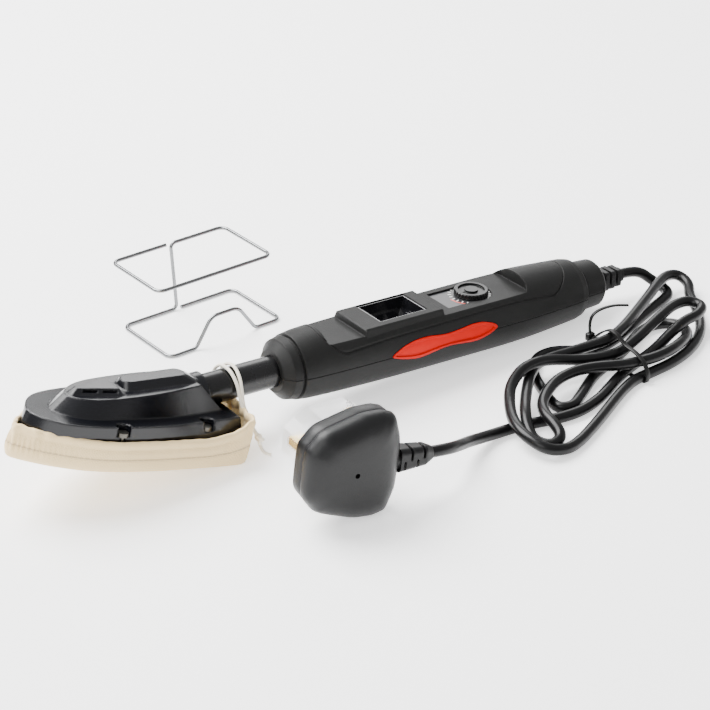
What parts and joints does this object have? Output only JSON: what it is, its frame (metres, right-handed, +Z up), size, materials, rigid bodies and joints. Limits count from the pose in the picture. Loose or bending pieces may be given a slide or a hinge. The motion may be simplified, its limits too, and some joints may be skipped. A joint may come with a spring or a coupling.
{
  "type": "covering iron",
  "caption": "Hand-held covering iron with a tilted shoe in a cloth sock, neck tube, dial handle, tied mains cord with plug and a loose bent-wire stand.",
  "frame": {"origin": "on the floor below the middle of the iron and its stand, cord and plug left out", "axes": "+X along the iron from the shoe's nose to the cord end, +Y towards the stand, +Z up"},
  "size_m": [0.4078, 0.2494, 0.0553],
  "materials": {
    "sock_cotton": "cream woven cotton",
    "string_cotton": "white braided cotton",
    "sole_aluminium": "satin machined",
    "housing_gloss": "glossy black phenolic",
    "neck_black": "satin black",
    "collar_steel": "turned",
    "handle_matte": "matte black, finely textured",
    "inlay_orange": "semi-gloss orange-red",
    "well_gloss": "glossy black",
    "plate_black": "satin black with printed ring",
    "dial_black": "satin black",
    "shaft_steel": "turned",
    "regulator_body": "ceramic white",
    "board_green": "solder mask green",
    "board_parts": "moulded",
    "screw_brass": "dull brass",
    "screw_steel": "zinc plated",
    "mica": "mica sheet",
    "ribbon": "resistance alloy",
    "clamp_steel": "pressed",
    "thermal_fuse": "crimped can",
    "lead_rubber": "silicone insulation",
    "relief_black": "flexible satin black",
    "cord_black": "glossy black PVC",
    "tie_black": "nylon",
    "stand_chrome": "bright chrome",
    "plug_black": "satin black moulded",
    "pin_brass": "bright",
    "pin_sleeved": "bright",
    "carrier_black": "moulded",
    "fuse_ceramic": "ceramic tube",
    "guard_clear": "translucent"
  },
  "bodies": {
    "root": {"sole_plate": "sole_aluminium", "mica_sheets": "mica", "heating_element": "ribbon", "heater_clamp": "clamp_steel", "thermal_fuse": "thermal_fuse", "shoe_housing": "housing_gloss", "shoe_screws": "screw_brass", "sock": "sock_cotton", "neck_tube": "neck_black", "neck_collar": "collar_steel", "handle_upper": "handle_matte", "handle_lower": "handle_matte", "inlay_left": "inlay_orange", "inlay_right": "inlay_orange", "display_tray": "well_gloss", "dial_plate": "plate_black", "regulator": "regulator_body", "circuit_board": "board_green", "board_parts": "board_parts", "handle_screws": "screw_steel", "cord_clamp": "clamp_steel", "clamp_screws": "screw_steel", "cord_tail": "cord_black", "strain_relief": "relief_black", "heater_leads": "lead_rubber", "mains_leads": "lead_rubber", "drawstring": "string_cotton", "plug_body": "plug_black", "plug_relief": "relief_black", "earth_pin": "pin_brass", "line_pin": "pin_sleeved", "neutral_pin": "pin_sleeved", "cord_lead": "cord_black", "cord_hank": "cord_black", "cord_to_plug": "cord_black", "cable_tie": "tie_black"},
    "dial": {"thermostat_dial": "dial_black", "dial_shaft": "shaft_steel"},
    "stand": {"stand_wire": "stand_chrome"},
    "pin_guard": {"pin_guard": "guard_clear"},
    "fuse_carrier": {"fuse_carrier": "carrier_black", "fuse": "fuse_ceramic"}
  },
  "joints": [
    {"name": "dial_turn", "type": "hinge", "parent": "root", "child": "dial", "pos_m": [0.08345, -0.05271, 0.03291], "axis": [0.061, 0, 0.9981], "range_deg": [0, 270]},
    {"name": "stand_lift", "type": "slide", "parent": "root", "child": "stand", "axis": [0, 0, 1], "range_m": [0, 0.1]},
    {"name": "guard_slide", "type": "slide", "parent": "root", "child": "pin_guard", "axis": [0.0872, 0.9962, 0], "range_m": [0, 0.026]},
    {"name": "fuse_slide", "type": "slide", "parent": "root", "child": "fuse_carrier", "axis": [0.0872, 0.9962, 0], "range_m": [0, 0.012]}
  ]
}
